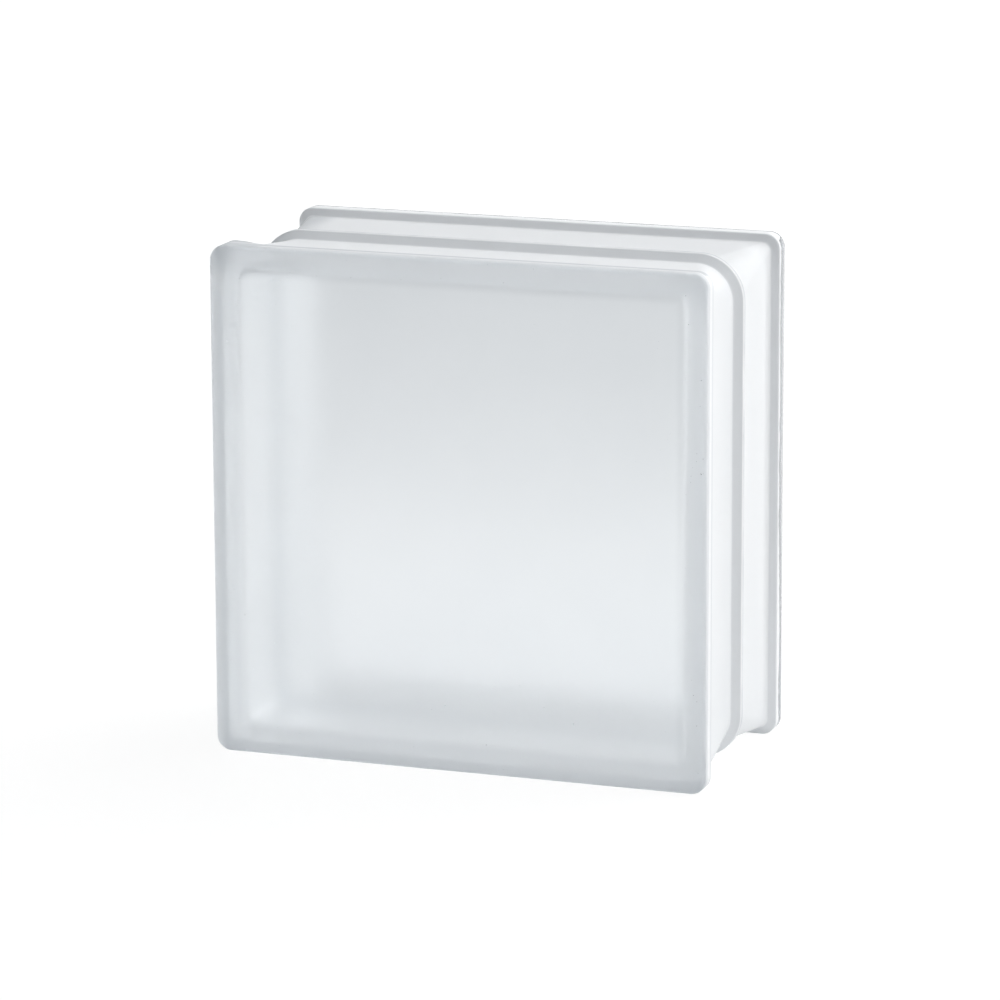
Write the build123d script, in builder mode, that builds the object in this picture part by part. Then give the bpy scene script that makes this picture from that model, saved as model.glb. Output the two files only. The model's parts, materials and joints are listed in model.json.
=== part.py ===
"""Hollow glass block: two pressed half shells fused round the middle into one piece of glass."""
import math
import os

from build123d import *

# Overall size. The block stands on its lower edge, with its two faces looking along -Y and +Y.
block_width = 190.0
block_height = 190.0
block_depth = 95.0

# Flange round each face, the widest part of the block
flange_land = 7.8
flange_corner = 7.5
face_arris = 1.8
land_bevel = 0.5

# Mortar channel, from the root of the flange down to the waist at the seam
root_inset = 3.0
root_run = 1.2
root_corner = 5.0
root_bevel = 0.9
waist_inset = 4.2
waist_corner = 14.0
waist_bevel = 0.9

# Raised seam where the half shells are fused
crest_inset = 1.0
crest_width = 3.6
crest_run = 2.4
crest_corner = 20.0
crest_bevel = 0.6

# Glass round the sealed cavity
pane_thickness = 9.5
wall_at_pane = 7.0
wall_at_seam = 4.8
cavity_corner = 12.0
cavity_fillet = 5.0

# Distances from the seam plane, towards either face
face_y = block_depth / 2
land_y = face_y - flange_land
root_y = land_y - root_run
crest_y = crest_width / 2
foot_y = crest_y + crest_run
pane_y = face_y - pane_thickness

EDGE_SNAP = 0.01


def across(y):
    """Plane across the block at depth y, centred on the block and looking out of its front."""
    return Plane((0, y, block_height / 2), x_dir=(1, 0, 0), z_dir=(0, -1, 0))


def front_to_rear(half_rings):
    """Rings of one half, listed from its face inwards, and then their mirror images."""
    front = [(-ring[0], *ring[1:]) for ring in half_rings]
    return front + list(reversed(half_rings))


def bevelled(rings):
    """Rings with each one between the two faces cut back by its bevel along both sides of the section."""
    cut = [rings[0][:3]]
    for before, ring, after in zip(rings, rings[1:], rings[2:]):
        for side in (before, after):
            share = ring[3] / math.hypot(side[0] - ring[0], side[1] - ring[1])
            cut.append(tuple(here + share * (there - here) for here, there in zip(ring[:3], side)))
    return cut + [rings[-1][:3]]


def loops_at(part, y):
    """Edges of the two loops that lie at distance y from the seam plane."""
    loops = ShapeList()
    for side in (-y, y):
        loops += part.edges().filter_by_position(Axis.Y, side - EDGE_SNAP, side + EDGE_SNAP)
    return loops


# Each ring is a rounded rectangle: distance from the seam plane, inset from the outline, corner radius, bevel
outer_rings = [
    (face_y, 0, flange_corner, 0),
    (land_y, 0, flange_corner, land_bevel),
    (root_y, root_inset, root_corner, root_bevel),
    (foot_y, waist_inset, waist_corner, waist_bevel),
    (crest_y, crest_inset, crest_corner, crest_bevel),
]

# The corners of the cavity keep one axis from pane to seam
pane_inset = root_inset + wall_at_pane
seam_inset = waist_inset + wall_at_seam
cavity_rings = [
    (pane_y, pane_inset, cavity_corner),
    (crest_y, seam_inset, cavity_corner + pane_inset - seam_inset),
]

# Sealed cavity, widest at the seam so that each half shell leaves its plunger
with BuildPart() as cavity:
    for y, inset, corner in front_to_rear(cavity_rings):
        with BuildSketch(across(y)):
            RectangleRounded(block_width - 2 * inset, block_height - 2 * inset, corner)
    loft(ruled=True)
    fillet(loops_at(cavity, pane_y), cavity_fillet)

# The glass round it
with BuildPart() as glass_block:
    for y, inset, corner in bevelled(front_to_rear(outer_rings)):
        with BuildSketch(across(y)):
            RectangleRounded(block_width - 2 * inset, block_height - 2 * inset, corner)
    loft(ruled=True)
    fillet(loops_at(glass_block, face_y), face_arris)
    add(cavity.part, mode=Mode.SUBTRACT)

os.makedirs("parts", exist_ok=True)
glass_block.part.label = "glass_block"
export_step(glass_block.part, "parts/glass_block.step")
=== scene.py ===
"""Satin glass block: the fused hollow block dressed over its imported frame, with a plain studio round it."""

import json
import logging
import math
from dataclasses import dataclass, field
from enum import Enum
from typing import Any, Mapping, Optional, Sequence, Union

import bpy
from mathutils import Matrix, Vector

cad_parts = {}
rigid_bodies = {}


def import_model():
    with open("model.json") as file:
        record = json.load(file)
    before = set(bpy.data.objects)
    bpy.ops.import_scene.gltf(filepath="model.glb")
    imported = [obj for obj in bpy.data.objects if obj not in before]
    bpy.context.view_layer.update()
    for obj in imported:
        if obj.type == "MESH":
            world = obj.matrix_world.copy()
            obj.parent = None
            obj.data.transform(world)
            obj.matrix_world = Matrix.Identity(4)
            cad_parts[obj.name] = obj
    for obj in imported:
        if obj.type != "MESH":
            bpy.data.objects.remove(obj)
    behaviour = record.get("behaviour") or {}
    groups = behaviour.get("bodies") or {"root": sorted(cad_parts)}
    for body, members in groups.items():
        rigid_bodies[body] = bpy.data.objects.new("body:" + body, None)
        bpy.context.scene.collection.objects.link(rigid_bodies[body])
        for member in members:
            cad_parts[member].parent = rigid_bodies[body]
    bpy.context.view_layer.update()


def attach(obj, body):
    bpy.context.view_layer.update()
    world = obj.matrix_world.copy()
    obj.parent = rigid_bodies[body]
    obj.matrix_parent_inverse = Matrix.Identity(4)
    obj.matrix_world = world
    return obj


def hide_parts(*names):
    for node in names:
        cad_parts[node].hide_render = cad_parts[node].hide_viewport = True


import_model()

log = logging.getLogger("glass_block")

Tone = tuple[float, float, float]
Span = tuple[float, float]

MM = 0.001
GLASS_BOUNCES = 36
OTHER_BOUNCES = 16
QUARTER_TURN = math.pi / 2
GLASS_IOR = 1.52
NOISE_MEAN = 0.5
WHITE: Tone = (1.0, 1.0, 1.0)


class Zone(Enum):
    """Stretches of the section that take a finish of their own."""

    SATIN = 0
    EDGE = 1
    CAVITY = 2


@dataclass(frozen=True)
class Pattern:
    """Soft random pattern.

    Attributes:
        scale: lumps per metre.
        detail: finer layers.
        rough: weight of the finer layers.
    """

    scale: float
    detail: float = 2.0
    rough: float = 0.5


class Num:
    """A number socket of a node tree that takes part in Python arithmetic."""

    def __init__(self, graph: "Graph", socket: bpy.types.NodeSocket) -> None:
        """Keeps the socket and the graph that new Math nodes go into."""
        self.graph = graph
        self.socket = socket

    def __add__(self, other: "Operand") -> "Num":
        """Sum of two numbers."""
        return self.graph.math("ADD", self, other)

    def __sub__(self, other: "Operand") -> "Num":
        """This number less another."""
        return self.graph.math("SUBTRACT", self, other)

    def __rsub__(self, other: "Operand") -> "Num":
        """Another number less this one."""
        return self.graph.math("SUBTRACT", other, self)

    def __mul__(self, other: "Operand") -> "Num":
        """Product of two numbers."""
        return self.graph.math("MULTIPLY", self, other)

    def __truediv__(self, other: "Operand") -> "Num":
        """This number divided by another."""
        return self.graph.math("DIVIDE", self, other)

    def __mod__(self, other: "Operand") -> "Num":
        """Rest of this number after whole shares of another."""
        return self.graph.math("FLOORED_MODULO", self, other)

    def __abs__(self) -> "Num":
        """Size of this number."""
        return self.graph.math("ABSOLUTE", self)

    __radd__ = __add__
    __rmul__ = __mul__


Operand = Union[Num, float, int]
Colour = Union[Sequence[float], bpy.types.NodeSocket]


class Graph:
    """A node tree with short calls for making and joining its nodes."""

    def __init__(self, tree: bpy.types.NodeTree) -> None:
        """Keeps the tree."""
        self.tree = tree

    def node(
        self,
        kind: str,
        settings: Optional[Mapping[str, Any]] = None,
        sockets: Optional[Mapping[Union[str, int], Any]] = None,
    ) -> bpy.types.Node:
        """Adds one node.

        Args:
            kind: Blender's name of the node type.
            settings: properties of the node, set before its sockets.
            sockets: value, Num, socket or list of sockets for each input, by name or place.

        Returns:
            The new node.
        """
        node = self.tree.nodes.new(kind)
        for name, value in (settings or {}).items():
            setattr(node, name, value)
        for key, value in (sockets or {}).items():
            entry = node.inputs[key] if isinstance(key, int) else self.entry(node, key)
            for item in value if isinstance(value, list) else [value]:
                self.feed(entry, item)
        return node

    @staticmethod
    def entry(node: bpy.types.Node, name: str) -> bpy.types.NodeSocket:
        """The input of that name that is in use."""
        return next(socket for socket in node.inputs if socket.name == name and socket.enabled)

    def feed(self, entry: bpy.types.NodeSocket, value: Any) -> None:
        """Joins a Num or socket to an input, or sets a plain value on it.

        Args:
            entry: the input socket.
            value: what goes in.
        """
        if isinstance(value, Num):
            value = value.socket
        if isinstance(value, bpy.types.NodeSocket):
            self.tree.links.new(value, entry)
        else:
            entry.default_value = value

    @staticmethod
    def exit(node: bpy.types.Node, name: str) -> bpy.types.NodeSocket:
        """The output of that name that is in use."""
        return next(socket for socket in node.outputs if socket.name == name and socket.enabled)

    def number(self, node: bpy.types.Node, name: str) -> Num:
        """An output as a number for arithmetic."""
        return Num(self, self.exit(node, name))

    def math(self, operation: str, *operands: Operand) -> Num:
        """Adds a Math node and gives its result."""
        node = self.node("ShaderNodeMath", {"operation": operation}, dict(enumerate(operands)))
        return Num(self, node.outputs[0])

    def ramp(self, value: Operand, start: float, end: float, low: float = 0.0, high: float = 1.0) -> Num:
        """Eased step from low at start to high at end.

        Args:
            value: the number that runs from start to end.
            start: where the step begins.
            end: where it is complete.
            low: result before start.
            high: result after end.

        Returns:
            The eased number.
        """
        node = self.node(
            "ShaderNodeMapRange",
            {"interpolation_type": "SMOOTHSTEP"},
            {"Value": value, "From Min": start, "From Max": end, "To Min": low, "To Max": high},
        )
        return self.number(node, "Result")

    def band(self, value: Num, low: float, high: float, soft: float) -> Num:
        """One between two places, and zero outside them.

        Args:
            value: the number that is tested.
            low: lower end of the band.
            high: upper end of the band.
            soft: half the width over which each end fades.

        Returns:
            The eased number.
        """
        return self.ramp(value, low - soft, low + soft) * self.ramp(value, high + soft, high - soft)

    def share(self, value: Operand, start: Operand, end: Operand) -> Num:
        """Straight share of the way from start to end, kept between 0 and 1."""
        node = self.node("ShaderNodeMapRange", None, {"Value": value, "From Min": start, "From Max": end})
        return self.number(node, "Result")

    def parts(self, vector: bpy.types.NodeSocket) -> tuple[Num, Num, Num]:
        """The three numbers of a vector."""
        node = self.node("ShaderNodeSeparateXYZ", None, {0: vector})
        return tuple(Num(self, socket) for socket in node.outputs)

    def vector(self, x: Operand, y: Operand, z: Operand) -> bpy.types.NodeSocket:
        """A vector from three numbers."""
        return self.node("ShaderNodeCombineXYZ", None, {0: x, 1: y, 2: z}).outputs[0]

    def noise(self, place: bpy.types.NodeSocket, pattern: Pattern) -> Num:
        """Soft random number round a half.

        Args:
            place: vector that the pattern is read at.
            pattern: its scale and fineness.

        Returns:
            The number, between 0 and 1.
        """
        node = self.node(
            "ShaderNodeTexNoise",
            {"noise_dimensions": "3D"},
            {"Vector": place, "Scale": pattern.scale, "Detail": pattern.detail, "Roughness": pattern.rough},
        )
        return Num(self, node.outputs[0])

    def bump(self, height: Num, strength: float, distance: float) -> bpy.types.NodeSocket:
        """Normal of a surface that a pattern roughens."""
        sockets = {"Strength": strength, "Distance": distance, "Height": height}
        return self.node("ShaderNodeBump", None, sockets).outputs[0]

    def named(self, kind: str, name: str) -> bpy.types.NodeSocket:
        """Field of a named value of the geometry."""
        node = self.node("GeometryNodeInputNamedAttribute", {"data_type": kind}, {"Name": name})
        return self.exit(node, "Attribute")

    def combine(self, operation: str, first: bpy.types.NodeSocket, second: Any) -> bpy.types.NodeSocket:
        """Adds a Vector Math node and gives its result."""
        second_place = "Scale" if operation == "SCALE" else 1
        node = self.node("ShaderNodeVectorMath", {"operation": operation}, {0: first, second_place: second})
        return node.outputs[0]

    def blend(self, factor: Operand, low: Colour, high: Colour) -> bpy.types.NodeSocket:
        """Colour between two colours.

        Args:
            factor: 0 for low, 1 for high.
            low: red, green and blue, or a colour socket.
            high: red, green and blue, or a colour socket.

        Returns:
            The colour socket.
        """
        # A Mix node has its colours at inputs 6 and 7, and the mixed one at output 2
        node = self.node("ShaderNodeMix", {"data_type": "RGBA"}, {0: factor})
        for entry, colour in ((node.inputs[6], low), (node.inputs[7], high)):
            self.feed(entry, colour if isinstance(colour, bpy.types.NodeSocket) else (*colour, 1.0))
        return node.outputs[2]


def new_material(name: str) -> tuple[bpy.types.Material, Graph, bpy.types.Node]:
    """An empty material with its output node.

    Args:
        name: name of the finish.

    Returns:
        The material, its graph and its output node.
    """
    material = bpy.data.materials.new(name)
    material.use_nodes = True
    material.node_tree.nodes.clear()
    graph = Graph(material.node_tree)
    return material, graph, graph.node("ShaderNodeOutputMaterial")


def object_place(graph: Graph) -> bpy.types.NodeSocket:
    """Object coordinates of a material."""
    return graph.exit(graph.node("ShaderNodeTexCoord"), "Object")


@dataclass(frozen=True)
class SatinGlass:
    """Etched outside of the two faces: clear glass with a fine frosted skin.

    The frame band and the corners of the face are darkened with painted shade, and its left arris is lightened with
    painted light, for the way that light takes through the solid glass there.
    """

    name: str = "satin_glass"
    pale: Tone = (0.905, 0.925, 0.940)
    deep: Tone = (0.880, 0.902, 0.918)
    cloud: Pattern = Pattern(38.0, 3.0, 0.55)
    contrast: Span = (0.3, 0.7)
    # Painted shade on the frame band round the face
    rim_painted_shade: Tone = (0.775, 0.797, 0.814)
    rim_shade_reach: Span = (82.6 * MM, 86.0 * MM)
    # The corner tone is painted shade on the corners of the face
    corner: Tone = (0.690, 0.716, 0.738)
    corner_shade_reach: Span = (166.0 * MM, 184.0 * MM)
    # The arris tone is painted light on the face's left arris
    arris: Tone = (0.960, 0.970, 0.978)
    left_arris_light_reach: Span = (-90.6 * MM, -93.6 * MM)
    middle: float = 95.0 * MM
    grain: Pattern = Pattern(900.0, 2.0, 0.6)
    roughness: float = 0.30
    roughness_spread: float = 0.10
    bump_strength: float = 0.25
    bump_distance: float = 0.05 * MM

    def material(self) -> bpy.types.Material:
        """Builds the finish.

        Returns:
            The material.
        """
        material, graph, output = new_material(self.name)
        place = object_place(graph)
        width, _, height = graph.parts(place)
        across, upward = abs(width), abs(height - self.middle)
        farther = graph.math("MAXIMUM", across, upward)
        grain = graph.noise(place, self.grain)
        cloud = graph.ramp(graph.noise(place, self.cloud), *self.contrast)
        skin = graph.blend(cloud, self.deep, self.pale)
        # Painted shade on the frame band and the corners of the face, painted light on its left arris
        for share, tone in (
            (graph.ramp(farther, *self.rim_shade_reach), self.rim_painted_shade),
            (graph.ramp(across + upward, *self.corner_shade_reach), self.corner),
            (graph.ramp(width, *self.left_arris_light_reach), self.arris),
        ):
            skin = graph.blend(share, skin, tone)
        shader = graph.node(
            "ShaderNodeBsdfPrincipled",
            None,
            {
                "Base Color": skin,
                "Roughness": self.roughness + (grain - NOISE_MEAN) * self.roughness_spread,
                "IOR": GLASS_IOR,
                "Transmission Weight": 1.0,
                "Normal": graph.bump(grain, self.bump_strength, self.bump_distance),
            },
        )
        graph.feed(output.inputs[0], shader.outputs[0])
        return material


@dataclass(frozen=True)
class ClearGlass:
    """Pressed glass of the sealed cavity, with the faint haze that the press leaves."""

    name: str = "clear_glass"
    tint: Tone = (0.988, 0.994, 0.996)
    haze: Tone = (0.978, 0.986, 0.990)
    streak: Pattern = Pattern(24.0)
    roughness: float = 0.15
    roughness_spread: float = 0.03

    def material(self) -> bpy.types.Material:
        """Builds the finish.

        Returns:
            The material.
        """
        material, graph, output = new_material(self.name)
        streak = graph.noise(object_place(graph), self.streak)
        shader = graph.node(
            "ShaderNodeBsdfPrincipled",
            None,
            {
                "Base Color": graph.blend(streak, self.haze, self.tint),
                "Roughness": self.roughness + streak * self.roughness_spread,
                "IOR": GLASS_IOR,
                "Transmission Weight": 1.0,
            },
        )
        graph.feed(output.inputs[0], shader.outputs[0])
        return material


@dataclass(frozen=True)
class EdgeCoat:
    """Pale coat that keys the mortar: thin in the channels, firm on seam and flanges, ragged where it stops.

    Sides are places along the block's depth, with the front at the negative end. Reaches are distances from the seam.
    """

    name: str = "edge_coat"
    spray: Pattern = Pattern(60.0, 3.0, 0.55)
    fleck: Pattern = Pattern(420.0, 2.0, 0.6)
    tear: Pattern = Pattern(150.0, 3.0, 0.6)

    # How much of the glass the coat hides
    channel_cover: float = 0.48
    upper_cover: float = 0.64
    upper_height: Span = (180.0 * MM, 185.0 * MM)
    upper_side: Span = (2.0 * MM, -4.0 * MM)
    firm_cover: float = 0.80
    ridge_reach: Span = (4.6 * MM, 4.0 * MM)
    land_reach: Span = (37.7 * MM, 38.5 * MM)

    # Where the coat stops, earlier on the rear flange and where that is rubbed
    stop: float = 47.6 * MM
    rear_stop: float = 45.0 * MM
    rear_side: Span = (0.0, 30.0 * MM)
    rubbed_stop: float = 41.6 * MM
    rubbed_width: Span = (93.4 * MM, 94.2 * MM)
    rubbed_height: Span = (35.0 * MM, 80.0 * MM)
    rubbed_least: float = 0.55
    drift: float = 1.2 * MM
    ragged: float = 0.7 * MM
    stop_soft: float = 0.1 * MM
    fringe_reach: Span = (3.6 * MM, 2.0 * MM)

    # Tones of the coat, and of the lines and patches on it; the tones on the slopes, brims, the front land's edge and
    # the rear corner are painted shade
    white: Tone = (0.980, 0.984, 0.989)
    thin: Tone = (0.962, 0.968, 0.976)
    contrast: Span = (0.3, 0.7)
    land: Tone = (0.975, 0.980, 0.986)
    # Painted shade on the slopes of the ridge and of the flange roots
    slope_shade: Tone = (0.800, 0.815, 0.832)
    slope_shade_reaches: tuple[Span, ...] = ((1.3 * MM, 4.2 * MM), (38.3 * MM, 40.6 * MM))
    slope_shade_soft: float = 0.3 * MM
    # Painted shade lines along the front flange, in the slopes' tone
    brim_shade_sides: tuple[Span, ...] = ((-41.5 * MM, -39.7 * MM), (-46.8 * MM, -43.9 * MM))
    shade_band_soft: float = 0.2 * MM
    # Painted shade along the rear edge of the front flange's upper land
    crown_shade: Tone = (0.640, 0.658, 0.676)
    crown_shade_side: Span = (-43.1 * MM, -40.5 * MM)
    crown_shade_height: Span = (188.0 * MM, 189.2 * MM)
    seam: Tone = (0.640, 0.660, 0.682)
    seam_place: float = 1.0 * MM
    seam_half: float = 0.50 * MM
    seam_soft: float = 0.2 * MM
    # Painted shade in the upper left corner of the rear channel, where its rounding turns away from the light
    rear_corner_shade: Tone = (0.440, 0.460, 0.480)
    rear_corner_shade_width: Span = (-76.0 * MM, -87.0 * MM)
    rear_corner_shade_height: Span = (178.0 * MM, 185.0 * MM)
    rear_corner_shade_side: Span = (2.0 * MM, 12.0 * MM)
    ear: Tone = (0.660, 0.682, 0.700)
    ear_width: Span = (-74.0 * MM, -80.0 * MM)
    ear_height: Span = (176.0 * MM, 182.0 * MM)
    ear_side: Span = (-28.0 * MM, -32.0 * MM)

    # Tones of the glass under it, and the surface of both
    glass: Tone = (0.965, 0.976, 0.982)
    edge: Tone = (0.42, 0.45, 0.48)
    coat_roughness: float = 0.48
    coat_spread: float = 0.2
    bare_roughness: float = 0.15
    coated_roughness: float = 0.35
    bump_strength: float = 0.2
    bump_distance: float = 0.1 * MM

    def past_stop(self, graph: Graph, place: bpy.types.NodeSocket, spray: Num) -> Num:
        """Tells how far past the coat's ragged end a place is.

        Args:
            graph: the finish's graph.
            place: object coordinates.
            spray: the coat's coarse pattern.

        Returns:
            The distance, less than zero where there is coat.
        """
        width, side, height = graph.parts(place)
        tear = graph.noise(place, self.tear)
        rear = graph.ramp(side, *self.rear_side)
        rubbed = rear * graph.ramp(width, *self.rubbed_width)
        rubbed = rubbed * graph.ramp(height, *self.rubbed_height, self.rubbed_least, 1.0)
        limit = self.stop + rear * (self.rear_stop - self.stop) + rubbed * (self.rubbed_stop - self.rear_stop)
        limit = limit + (spray - NOISE_MEAN) * (2.0 * self.drift) + (tear - NOISE_MEAN) * (2.0 * self.ragged)
        return abs(side) - limit

    def tone(
        self, graph: Graph, place: bpy.types.NodeSocket, spray: Num, on_land: Num, firm: Num
    ) -> bpy.types.NodeSocket:
        """Colours the coat, with painted shade on its slopes, brims, the front land's edge and the rear channel's
        upper left corner.
            on_land: one on the flanges.
            firm: one where the coat is firm.

        Returns:
            The colour socket.
        """
        width, side, height = graph.parts(place)
        reach = abs(side)
        # Painted shade in the rear channel's upper left corner
        rear_corner_shade = graph.ramp(width, *self.rear_corner_shade_width) * graph.ramp(height, *self.rear_corner_shade_height)
        rear_corner_shade = rear_corner_shade * graph.ramp(side, *self.rear_corner_shade_side) * (1.0 - firm)
        crown_shade = graph.band(side, *self.crown_shade_side, self.shade_band_soft) * graph.ramp(height, *self.crown_shade_height)
        ear = graph.ramp(width, *self.ear_width) * graph.ramp(height, *self.ear_height)
        off_seam = abs(side - self.seam_place - (spray - NOISE_MEAN) * (2.0 * self.seam_half))
        # Layers of painted shade among these: the rear corner, the brims, the front land's edge and the slopes
        layers = [
            (on_land, self.land),
            (rear_corner_shade, self.rear_corner_shade),
            *((graph.band(side, *brim_shade, self.shade_band_soft), self.slope_shade) for brim_shade in self.brim_shade_sides),
            (crown_shade, self.crown_shade),
            (ear * graph.ramp(side, *self.ear_side), self.ear),
            *((graph.band(reach, *slope_shade, self.slope_shade_soft), self.slope_shade) for slope_shade in self.slope_shade_reaches),
            (graph.ramp(off_seam, self.seam_half + self.seam_soft, self.seam_half - self.seam_soft), self.seam),
        ]
        tone = graph.blend(graph.ramp(spray, *self.contrast), self.thin, self.white)
        for share, colour in layers:
            tone = graph.blend(share, tone, colour)
        return tone

    def material(self) -> bpy.types.Material:
        """Builds the finish.

        Returns:
            The material.
        """
        material, graph, output = new_material(self.name)
        place = object_place(graph)
        _, side, height = graph.parts(place)
        spray, fleck = graph.noise(place, self.spray), graph.noise(place, self.fleck)
        past = self.past_stop(graph, place, spray)
        coated = graph.ramp(past, self.stop_soft, -self.stop_soft)
        fringe = graph.ramp(past, *self.fringe_reach) * (1.0 - coated)
        on_land = graph.ramp(abs(side), *self.land_reach)
        firm = graph.math("MAXIMUM", on_land, graph.ramp(abs(side), *self.ridge_reach))
        upper = graph.ramp(height, *self.upper_height) * graph.ramp(side, *self.upper_side)
        channel = self.channel_cover + upper * (self.upper_cover - self.channel_cover)
        cover = (channel + firm * (self.firm_cover - channel)) * coated
        coat = graph.node(
            "ShaderNodeBsdfPrincipled",
            None,
            {
                "Base Color": self.tone(graph, place, spray, on_land, firm),
                "Roughness": self.coat_roughness + (fleck - NOISE_MEAN) * self.coat_spread,
                "IOR": GLASS_IOR,
                "Normal": graph.bump(fleck, self.bump_strength, self.bump_distance),
            },
        )
        glass = graph.node(
            "ShaderNodeBsdfPrincipled",
            None,
            {
                "Base Color": graph.blend(fringe, self.glass, self.edge),
                "Roughness": self.bare_roughness + coated * self.coated_roughness,
                "IOR": GLASS_IOR,
                "Transmission Weight": 1.0,
            },
        )
        mixed = graph.node("ShaderNodeMixShader", None, {0: cover, 1: glass.outputs[0], 2: coat.outputs[0]})
        graph.feed(output.inputs[0], mixed.outputs[0])
        return material


@dataclass(frozen=True)
class Ring:
    """One rounded rectangle of the section.

    Attributes:
        inset: distance in from the block's outline.
        depth: place along the block's depth.
        corner: corner radius.
        easing: how far the section's corner here is rounded along both its sides.
        zone: finish of the strip that follows.
        ear: share of the thickening at the front's upper left corner.
        wander: share of the seam's waviness.
    """

    inset: float
    depth: float
    corner: float
    easing: float = 0.0
    zone: Zone = Zone.EDGE
    ear: float = 0.0
    wander: float = 0.0

    def towards(self, other: "Ring", share: float) -> "Ring":
        """Ring part of the way to another, with this one's finish."""
        return Ring(
            self.inset + (other.inset - self.inset) * share,
            self.depth + (other.depth - self.depth) * share,
            self.corner + (other.corner - self.corner) * share,
            0.0,
            self.zone,
            self.ear + (other.ear - self.ear) * share,
            self.wander + (other.wander - self.wander) * share,
        )

    def gap(self, other: "Ring") -> float:
        """Distance to another ring along the section."""
        return math.hypot(other.inset - self.inset, other.depth - self.depth)

    def mirrored(self, zone: Zone) -> "Ring":
        """Ring of the other half shell, with the finish of its own strip."""
        return Ring(self.inset, -self.depth, self.corner, self.easing, zone, 0.0, self.wander)


@dataclass
class Section:
    """Section of the block from the middle of the front face, over the edge, to the middle of the rear face."""

    half: float = 95.0 * MM
    face: float = 47.5 * MM
    arris: float = 1.6 * MM
    land: float = 7.8 * MM
    land_easing: float = 0.6 * MM
    flange_corner: float = 5.6 * MM
    root_inset: float = 3.0 * MM
    root_run: float = 1.2 * MM
    root_corner: float = 3.6 * MM
    root_easing: float = 1.0 * MM
    waist_inset: float = 4.2 * MM
    waist_corner: float = 14.0 * MM
    waist_easing: float = 0.9 * MM
    crest_inset: float = 1.0 * MM
    crest_half: float = 1.2 * MM
    crest_run: float = 3.0 * MM
    crest_corner: float = 17.0 * MM
    crest_easing: float = 0.4 * MM
    groove: float = 0.25 * MM
    groove_half: float = 0.5 * MM
    groove_easing: float = 0.1 * MM
    pane: float = 8.0 * MM
    cavity_inset: float = 9.2 * MM
    cavity_seam_inset: float = 8.6 * MM
    bead: float = 1.6 * MM
    bead_half: float = 3.5 * MM
    bead_easing: float = 1.6 * MM
    cavity_corner: float = 4.0 * MM
    cavity_easing: float = 2.5 * MM
    round_steps: int = 7
    longest_strip: float = 5.0 * MM

    def outer(self) -> list[Ring]:
        """Rings of the outside.

        Returns:
            The rings from the front face's middle to the rear face's.
        """
        land_end = self.face - self.land
        root = land_end - self.root_run
        foot = self.crest_half + self.crest_run
        half = [
            Ring(self.half, -self.face, 0.0, zone=Zone.SATIN),
            Ring(0.0, -self.face, self.flange_corner, self.arris, Zone.SATIN),
            Ring(0.0, self.arris - self.face, self.flange_corner),
            Ring(0.0, -land_end, self.flange_corner, self.land_easing, ear=1.0),
            Ring(self.root_inset, -root, self.root_corner, self.root_easing, ear=1.0),
            Ring(
                0.5 * (self.root_inset + self.waist_inset),
                -0.5 * root,
                0.5 * (self.root_corner + self.waist_corner),
            ),
            Ring(self.waist_inset, -foot, self.waist_corner, self.waist_easing),
            Ring(self.crest_inset, -self.crest_half, self.crest_corner, self.crest_easing),
            Ring(self.crest_inset, -self.groove_half, self.crest_corner, self.groove_easing, wander=1.0),
            Ring(self.crest_inset + self.groove, 0.0, self.crest_corner, self.groove_easing, wander=1.0),
        ]
        return self.rounded(self.both_halves(half))

    def cavity(self) -> list[Ring]:
        """Rings of the sealed cavity.

        Returns:
            The rings from the front pane's middle to the rear pane's.
        """
        pane = self.face - self.pane
        seam_corner = self.cavity_corner + self.cavity_inset - self.cavity_seam_inset
        half = [
            Ring(self.half, -pane, 0.0, zone=Zone.CAVITY),
            Ring(self.cavity_inset, -pane, self.cavity_corner, self.cavity_easing, Zone.CAVITY),
            Ring(self.cavity_seam_inset, -self.bead_half, seam_corner, self.bead_easing, Zone.CAVITY),
            Ring(self.cavity_seam_inset + self.bead, 0.0, seam_corner, self.bead_easing, Zone.CAVITY),
        ]
        return self.rounded(self.both_halves(half))

    @staticmethod
    def both_halves(half: Sequence[Ring]) -> list[Ring]:
        """Rings of a half, and then their mirror images.

        Args:
            half: rings from a face to the seam, the last of them on it.

        Returns:
            The rings from face to face.
        """
        rings = list(half)
        for place in range(len(half) - 2, -1, -1):
            rings.append(half[place].mirrored(half[max(place - 1, 0)].zone))
        return rings

    def rounded(self, rings: Sequence[Ring]) -> list[Ring]:
        """Rounds the section's corners and divides its long strips.

        Args:
            rings: corners of the section, with the easing of each.

        Returns:
            The rings, closely spaced.
        """
        path = [rings[0]]
        for before, ring, after in zip(rings, rings[1:], rings[2:]):
            if ring.easing <= 0.0:
                path.append(ring)
                continue
            first = ring.towards(before, ring.easing / ring.gap(before))
            last = ring.towards(after, ring.easing / ring.gap(after))
            for step in range(self.round_steps + 1):
                share = step / self.round_steps
                path.append(first.towards(ring, share).towards(ring.towards(last, share), share))
        path.append(rings[-1])
        dense = []
        for ring, after in zip(path, path[1:]):
            pieces = max(1, math.ceil(ring.gap(after) / self.longest_strip))
            dense.extend(ring.towards(after, step / pieces) for step in range(pieces))
        return dense + [path[-1]]


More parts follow.
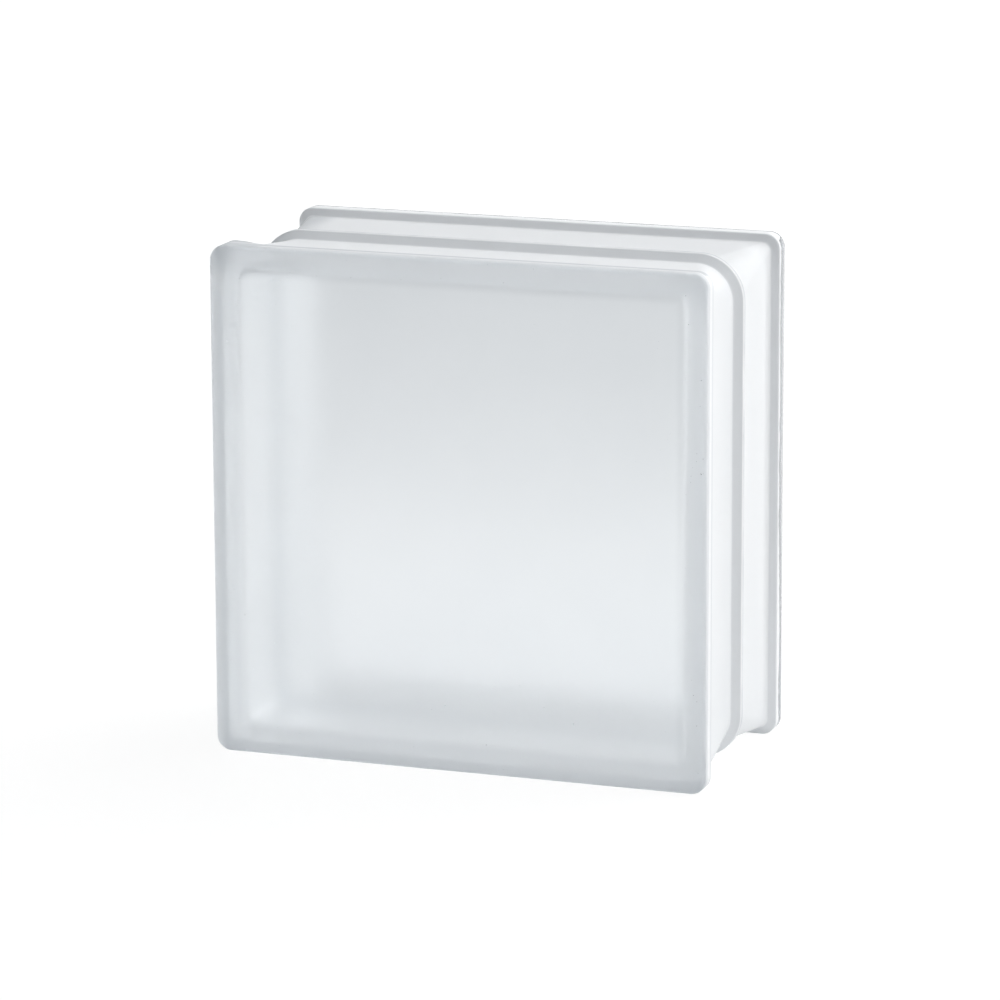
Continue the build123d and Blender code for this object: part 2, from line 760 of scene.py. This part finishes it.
@dataclass
class GlassBlock:
    """The fused glass block itself.

    Attributes:
        section: its section.
        quarter_columns: faces along each quarter of a ring.
        straight_share: share of a quarter's columns on each of its two straight runs.
        ear_depth: how much thicker the flange is at one corner.
        ear_reach: how far from the corner that fades.
        ear_corner: which corner, counted from the upper right towards the left.
        unevenness: how far the pressed surface swells in and out.
        swell: pattern of the unevenness.
        swell_mean: value of that pattern that leaves the surface in place, high so that nothing swells outwards far.
        wander: how far the seam's groove sways.
        sway: pattern of the sway.
        seed: shift of both patterns.
        index_slack: keeps a whole quarter from being rounded down.
        merge_gap: points closer than this become one.
    """

    section: Section = field(default_factory=Section)
    quarter_columns: int = 56
    straight_share: float = 0.34
    ear_depth: float = 5.6 * MM
    ear_reach: float = 15.0 * MM
    ear_corner: int = 1
    unevenness: float = 0.10 * MM
    swell: Pattern = Pattern(22.0, 1.0)
    swell_mean: float = 0.9
    wander: float = 0.5 * MM
    sway: Pattern = Pattern(45.0)
    seed: float = 4.0
    index_slack: float = 0.0001
    merge_gap: float = 0.004 * MM

    def ring_skin(self) -> bpy.types.NodeTree:
        """Node group that wraps a skin round the rings of a section.

        Returns:
            The group.
        """
        tree = bpy.data.node_groups.new("ring_skin", "GeometryNodeTree")
        for name, kind in (
            ("Section", "NodeSocketGeometry"),
            ("First Ring", "NodeSocketInt"),
            ("Rings", "NodeSocketInt"),
            ("Half Size", "NodeSocketFloat"),
            ("Quarter Columns", "NodeSocketInt"),
            ("Straight Share", "NodeSocketFloat"),
            ("Ear Depth", "NodeSocketFloat"),
            ("Ear Reach", "NodeSocketFloat"),
            ("Ear Corner", "NodeSocketInt"),
        ):
            tree.interface.new_socket(name, in_out="INPUT", socket_type=kind)
        tree.interface.new_socket("Skin", in_out="OUTPUT", socket_type="NodeSocketGeometry")
        graph = Graph(tree)
        given = graph.node("NodeGroupInput")
        section = graph.exit(given, "Section")
        first, rings, half, columns, straight, ear_depth, ear_reach, ear_corner = (
            graph.number(given, name)
            for name in (
                "First Ring", "Rings", "Half Size", "Quarter Columns", "Straight Share", "Ear Depth", "Ear Reach",
                "Ear Corner",
            )
        )
        grid = graph.node(
            "GeometryNodeMeshGrid", None, {"Vertices X": columns * 4 + 1, "Vertices Y": rings}
        )
        index = graph.number(graph.node("GeometryNodeInputIndex"), "Index")
        row = index % rings
        turn = graph.math("FLOOR", index / rings) / columns
        quarter = graph.math("FLOOR", turn + self.index_slack)
        along = turn - quarter
        rise = graph.share(along, 0.0, straight)
        fall = 1.0 - graph.share(along, 1.0 - straight, 1.0)
        start = quarter * QUARTER_TURN
        angle = start + graph.share(along, straight, 1.0 - straight) * QUARTER_TURN

        def sample(kind: str, field_socket: bpy.types.NodeSocket, place: Num) -> bpy.types.NodeSocket:
            """Value of a field on the section at one ring."""
            node = graph.node(
                "GeometryNodeSampleIndex",
                {"data_type": kind, "domain": "POINT"},
                {"Geometry": section, "Value": field_socket, "Index": first + place},
            )
            return graph.exit(node, "Value")

        position = graph.node("GeometryNodeInputPosition").outputs[0]
        inset, depth, corner = graph.parts(sample("FLOAT_VECTOR", position, row))
        ear = Num(graph, sample("FLOAT", graph.named("FLOAT", "ear"), row))
        reach = half - inset - corner
        cos_start, sin_start = graph.math("COSINE", start), graph.math("SINE", start)
        across = (cos_start * fall - sin_start * rise) * reach + corner * graph.math("COSINE", angle)
        upward = (sin_start * fall + cos_start * rise) * reach + corner * graph.math("SINE", angle)
        away = (1.0 - rise * fall) * reach / ear_reach
        chosen = graph.math("COMPARE", quarter, ear_corner, 0.5)
        thicker = ear * ear_depth * (1.0 - graph.ramp(away, 0.0, 1.0)) * chosen
        moved = graph.node(
            "GeometryNodeSetPosition",
            None,
            {
                "Geometry": graph.exit(grid, "Mesh"),
                "Position": graph.vector(across, depth + thicker, upward + half),
            },
        )
        with_wander = graph.node(
            "GeometryNodeStoreNamedAttribute",
            {"data_type": "FLOAT", "domain": "POINT"},
            {
                "Geometry": moved.outputs[0],
                "Name": "wander",
                "Value": sample("FLOAT", graph.named("FLOAT", "wander"), row),
            },
        )
        with_zone = graph.node(
            "GeometryNodeStoreNamedAttribute",
            {"data_type": "INT", "domain": "FACE"},
            {
                "Geometry": with_wander.outputs[0],
                "Name": "zone",
                "Value": sample("INT", graph.named("INT", "zone"), index % (rings - 1)),
            },
        )
        merged = graph.node(
            "GeometryNodeMergeByDistance", None, {"Geometry": with_zone.outputs[0], "Distance": self.merge_gap}
        )
        graph.node("NodeGroupOutput", None, {"Skin": merged.outputs[0]})
        return tree

    def block_tree(self, finishes: Mapping[Zone, bpy.types.Material]) -> bpy.types.NodeTree:
        """Tree that makes the outer skin and the cavity's, turns them the right way and dresses them.

        Args:
            finishes: the material of each zone.

        Returns:
            The tree, with a named input for each size.
        """
        tree = bpy.data.node_groups.new("glass_block_tree", "GeometryNodeTree")
        tree.interface.new_socket("Section", in_out="INPUT", socket_type="NodeSocketGeometry")
        for name in ("Outer Rings", "Cavity Rings", "Quarter Columns", "Ear Corner"):
            tree.interface.new_socket(name, in_out="INPUT", socket_type="NodeSocketInt")
        for name in (
            "Half Size", "Straight Share", "Ear Depth", "Ear Reach", "Unevenness", "Seam Wander", "Seed",
        ):
            tree.interface.new_socket(name, in_out="INPUT", socket_type="NodeSocketFloat")
        tree.interface.new_socket("Block", in_out="OUTPUT", socket_type="NodeSocketGeometry")
        graph = Graph(tree)
        given = graph.node("NodeGroupInput")
        common = {
            name: graph.exit(given, name)
            for name in (
                "Section", "Half Size", "Quarter Columns", "Straight Share", "Ear Depth", "Ear Reach", "Ear Corner",
            )
        }
        group = self.ring_skin()
        outer_rings = graph.number(given, "Outer Rings")
        outer = graph.node(
            "GeometryNodeGroup", {"node_tree": group}, {**common, "First Ring": 0, "Rings": outer_rings}
        )
        cavity = graph.node(
            "GeometryNodeGroup",
            {"node_tree": group},
            {**common, "First Ring": outer_rings, "Rings": graph.exit(given, "Cavity Rings")},
        )
        turned = graph.node("GeometryNodeFlipFaces", None, {"Mesh": outer.outputs[0]})
        joined = graph.node("GeometryNodeJoinGeometry", None, {0: [turned.outputs[0], cavity.outputs[0]]})
        place = graph.node("GeometryNodeInputPosition").outputs[0]
        seed = graph.number(given, "Seed")
        spread = graph.combine("ADD", place, graph.vector(seed, seed, seed))
        wander = Num(graph, graph.named("FLOAT", "wander")) * graph.number(given, "Seam Wander")
        sway = (graph.noise(spread, self.sway) - NOISE_MEAN) * wander
        swell = (graph.noise(spread, self.swell) - self.swell_mean) * graph.number(given, "Unevenness")
        normal = graph.node("GeometryNodeInputNormal").outputs[0]
        shift = graph.combine("ADD", graph.combine("SCALE", normal, swell), graph.vector(0.0, sway, 0.0))
        moved = graph.node("GeometryNodeSetPosition", None, {"Geometry": joined.outputs[0], "Offset": shift})
        smooth = graph.node("GeometryNodeSetShadeSmooth", None, {0: moved.outputs[0]})
        result = graph.node("GeometryNodeRealizeInstances", None, {"Geometry": smooth.outputs[0]})
        zone = graph.named("INT", "zone")
        result = graph.node(
            "GeometryNodeSetMaterial", None, {"Geometry": result.outputs[0], "Material": finishes[Zone.EDGE]}
        )
        for which in (Zone.SATIN, Zone.CAVITY):
            chosen = graph.node(
                "FunctionNodeCompare", {"data_type": "INT", "operation": "EQUAL"}, {"A": zone, "B": which.value}
            )
            result = graph.node(
                "GeometryNodeSetMaterial",
                None,
                {"Geometry": result.outputs[0], "Selection": chosen.outputs[0], "Material": finishes[which]},
            )
        graph.node("NodeGroupOutput", None, {"Block": result.outputs[0]})
        return tree

    def section_mesh(self, rings: Sequence[Ring]) -> bpy.types.Mesh:
        """Line of points that carries the rings' sizes and finishes.

        Args:
            rings: the outer rings, then the cavity's.

        Returns:
            The mesh, one point for each ring.
        """
        mesh = bpy.data.meshes.new("block_section")
        mesh.from_pydata([(ring.inset, ring.depth, ring.corner) for ring in rings], [], [])
        for name, kind, values in (
            ("zone", "INT", [ring.zone.value for ring in rings]),
            ("ear", "FLOAT", [ring.ear for ring in rings]),
            ("wander", "FLOAT", [ring.wander for ring in rings]),
        ):
            mesh.attributes.new(name, kind, "POINT").data.foreach_set("value", values)
        return mesh

    def build(self) -> bpy.types.Object:
        """Makes the block and ties it to the frame.

        Returns:
            The finished piece.
        """
        outer, cavity = self.section.outer(), self.section.cavity()
        finishes = {
            Zone.SATIN: SatinGlass().material(),
            Zone.EDGE: EdgeCoat().material(),
            Zone.CAVITY: ClearGlass().material(),
        }
        tree = self.block_tree(finishes)
        carrier = bpy.data.objects.new("block_section", self.section_mesh(outer + cavity))
        bpy.context.collection.objects.link(carrier)
        modifier = carrier.modifiers.new("block", "NODES")
        modifier.node_group = tree
        sizes = {
            "Outer Rings": len(outer),
            "Cavity Rings": len(cavity),
            "Quarter Columns": self.quarter_columns,
            "Half Size": self.section.half,
            "Straight Share": self.straight_share,
            "Ear Depth": self.ear_depth,
            "Ear Reach": self.ear_reach,
            "Ear Corner": self.ear_corner,
            "Unevenness": self.unevenness,
            "Seam Wander": self.wander,
            "Seed": self.seed,
        }
        for item in tree.interface.items_tree:
            if item.name in sizes:
                modifier[item.identifier] = sizes[item.name]
        made = carrier.evaluated_get(bpy.context.evaluated_depsgraph_get())
        mesh = bpy.data.meshes.new_from_object(made)
        mesh.name = "glass_block_body"
        carrier.modifiers.clear()
        bpy.data.objects.remove(carrier)
        for name in ("zone", "wander"):
            mesh.attributes.remove(mesh.attributes[name])
        piece = bpy.data.objects.new("glass_block_body", mesh)
        bpy.context.collection.objects.link(piece)
        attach(piece, "root")
        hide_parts("glass_block")
        log.info("glass_block_body: %d vertices, %d faces", len(mesh.vertices), len(mesh.polygons))
        return piece


@dataclass(frozen=True)
class Lamp:
    """One soft square lamp."""

    name: str
    place: tuple[float, float, float]
    size: float
    watts: float
    through_glass: bool = False

    def build(self, target: Vector) -> bpy.types.Object:
        """Hangs the lamp and turns it to the target.

        Args:
            target: the point that it lights.

        Returns:
            The lamp's object.
        """
        light = bpy.data.lights.new(self.name, "AREA")
        light.shape = "SQUARE"
        light.size = self.size
        light.energy = self.watts
        lamp = bpy.data.objects.new(self.name, light)
        lamp.location = self.place
        lamp.rotation_euler = (target - Vector(self.place)).to_track_quat("-Z", "Y").to_euler()
        lamp.visible_glossy = False
        lamp.visible_transmission = self.through_glass
        bpy.context.collection.objects.link(lamp)
        log.info("%s: %.1f W", self.name, self.watts)
        return lamp


@dataclass
class Studio:
    """White floor, white surroundings and soft lamps.

    The camera sees white. Glass and gloss see white too, but greyer to the rear left and above, and greyer close to
    the block, where the floor's glow carries a painted shadow.
    The rest is lit by a fill that is darker from the left.
    """

    floor_half: float = 6.0
    fill: Tone = (0.40, 0.41, 0.42)
    shade: Tone = (0.17, 0.18, 0.19)
    fill_side: Span = (-0.6, 0.4)
    dusk: Tone = (0.64, 0.65, 0.66)
    dusk_back: Span = (-0.2, 0.6)
    dusk_left: Span = (0.30, -0.10)
    above: Tone = (0.92, 0.93, 0.94)
    above_rise: Span = (0.2, 0.8)
    floor_dusk_back: Span = (0.12, 0.70)
    floor_dusk_left: Span = (0.02, -0.10)
    floor_dusk_slant: float = 0.2
    far: Tone = (1.10, 1.10, 1.10)
    far_reach: Span = (0.5, 1.6)
    # Painted shadow on the floor's glow close to the block, seen through glass and gloss
    contact_shadow: Tone = (0.88, 0.89, 0.90)
    contact_shadow_reach: Span = (0.32, 0.14)
    floor_roughness: float = 0.9
    floor_white: float = 0.80
    shown_share: float = 0.16
    lamp_light: float = 0.6
    lamps: tuple[Lamp, ...] = (
        Lamp("right_lamp", (1.15, 0.85, 0.40), 1.1, 3.8),
        Lamp("top_lamp", (0.50, 0.62, 1.20), 1.2, 15.0),
        Lamp("rear_lamp", (0.75, 1.25, 0.35), 1.3, 9.0, True),
    )

    @staticmethod
    def seen(graph: Graph) -> tuple[Num, Num]:
        """Tells which rays show the surroundings.

        Args:
            graph: the graph that asks.

        Returns:
            One for rays from the camera, and one for those and the rays that glass and gloss pass on.
        """
        path = graph.node("ShaderNodeLightPath")
        camera, glossy, passed = (
            graph.number(path, name) for name in ("Is Camera Ray", "Is Glossy Ray", "Is Transmission Ray")
        )
        return camera, graph.math("MINIMUM", camera + glossy + passed, 1.0)

    def build_world(self) -> None:
        """Sets white surroundings with a softer fill for the lighting."""
        world = bpy.data.worlds.new("white_studio")
        world.use_nodes = True
        world.node_tree.nodes.clear()
        graph = Graph(world.node_tree)
        camera, shown = self.seen(graph)
        way = graph.parts(graph.exit(graph.node("ShaderNodeTexCoord"), "Generated"))
        behind = graph.ramp(way[1], *self.dusk_back) * graph.ramp(way[0], *self.dusk_left) * (1.0 - camera)
        fill = graph.blend(graph.ramp(way[0], *self.fill_side), self.shade, self.fill)
        above = graph.ramp(way[2], *self.above_rise) * (1.0 - camera)
        seen = graph.blend(behind, graph.blend(above, WHITE, self.above), self.dusk)
        colour = graph.blend(shown, fill, seen)
        background = graph.node("ShaderNodeBackground", None, {"Color": colour, "Strength": 1.0})
        graph.node("ShaderNodeOutputWorld", None, {0: background.outputs[0]})
        world.cycles.sampling_method = "NONE"
        bpy.context.scene.world = world

    def build_floor(self) -> bpy.types.Object:
        """Lays the floor.

        Returns:
            The floor's object.
        """
        material, graph, output = new_material("studio_floor")
        matt = {"Roughness": self.floor_roughness, "Specular IOR Level": 0.0}
        plain = graph.node(
            "ShaderNodeBsdfPrincipled", None, {**matt, "Base Color": (*(self.floor_white,) * 3, 1.0)}
        )
        camera, shown = self.seen(graph)
        across, away, _ = graph.parts(object_place(graph))
        leftward = graph.ramp(across - away * self.floor_dusk_slant, *self.floor_dusk_left)
        behind = graph.ramp(away, *self.floor_dusk_back) * leftward * (1.0 - camera)
        middle = graph.math("SQRT", across * across + away * away)
        # Painted shadow on the floor's glow close to the block
        contact_shadow = graph.ramp(middle, *self.contact_shadow_reach) * (1.0 - camera)
        pale = graph.blend(graph.ramp(middle, *self.far_reach) * camera, WHITE, self.far)
        white = graph.node(
            "ShaderNodeBsdfPrincipled",
            None,
            {
                **matt,
                "Base Color": (*(self.shown_share,) * 3, 1.0),
                "Emission Color": graph.blend(contact_shadow, graph.blend(behind, pale, self.dusk), self.contact_shadow),
                "Emission Strength": 1.0 - self.lamp_light * self.shown_share,
            },
        )
        mixed = graph.node(
            "ShaderNodeMixShader", None, {0: shown, 1: plain.outputs[0], 2: white.outputs[0]}
        )
        graph.feed(output.inputs[0], mixed.outputs[0])
        mesh = bpy.data.meshes.new("studio_floor")
        reach = self.floor_half
        corners = [(-reach, -reach, 0.0), (reach, -reach, 0.0), (reach, reach, 0.0), (-reach, reach, 0.0)]
        mesh.from_pydata(corners, [], [(0, 1, 2, 3)])
        mesh.materials.append(material)
        floor = bpy.data.objects.new("studio_floor", mesh)
        bpy.context.collection.objects.link(floor)
        log.info("studio_floor: %.1f m square", 2.0 * reach)
        return floor

    def build(self, target: Vector) -> None:
        """Makes the whole studio round the target."""
        self.build_world()
        self.build_floor()
        for lamp in self.lamps:
            lamp.build(target)


@dataclass(frozen=True)
class StudioCamera:
    """Long lens a little above the block and to its right."""

    azimuth: float = 19.978
    elevation: float = 12.814
    roll: float = 0.211
    distance: float = 1911.4 * MM
    right_offset: float = -0.015 * MM
    down_offset: float = -3.078 * MM
    focal_share: float = 5.1758
    sensor: float = 36.0

    def build(self, target: Vector) -> bpy.types.Object:
        """Places the camera.

        Args:
            target: middle of the block.

        Returns:
            The camera's object.
        """
        azimuth, elevation, roll = (math.radians(a) for a in (self.azimuth, self.elevation, self.roll))
        right = Vector((math.cos(azimuth), math.sin(azimuth), 0.0))
        back = Vector(
            (
                math.sin(azimuth) * math.cos(elevation),
                -math.cos(azimuth) * math.cos(elevation),
                math.sin(elevation),
            )
        )
        down = right.cross(back)
        right, down = (
            right * math.cos(roll) + down * math.sin(roll),
            down * math.cos(roll) - right * math.sin(roll),
        )
        place = target - right * self.right_offset - down * self.down_offset + back * self.distance
        lens = bpy.data.cameras.new("studio_camera")
        lens.sensor_width = self.sensor
        lens.lens = self.focal_share * self.sensor
        camera = bpy.data.objects.new("studio_camera", lens)
        turn = Matrix((right, -down, back)).transposed().to_4x4()
        camera.matrix_world = Matrix.Translation(place) @ turn
        bpy.context.collection.objects.link(camera)
        bpy.context.scene.camera = camera
        log.info("studio_camera: %.0f mm lens", lens.lens)
        return camera


def main() -> None:
    """Builds the block, the studio and the camera."""
    logging.basicConfig(level=logging.INFO, format="%(name)s %(message)s")
    bpy.context.scene.view_settings.view_transform = "Standard"
    paths = bpy.context.scene.cycles
    paths.blur_glossy = 0.0
    paths.max_bounces = paths.transmission_bounces = GLASS_BOUNCES
    paths.diffuse_bounces = paths.glossy_bounces = OTHER_BOUNCES
    block = GlassBlock()
    block.build()
    middle = Vector((0.0, 0.0, block.section.half))
    Studio().build(middle)
    StudioCamera().build(middle)


if __name__ == "__main__":
    main()
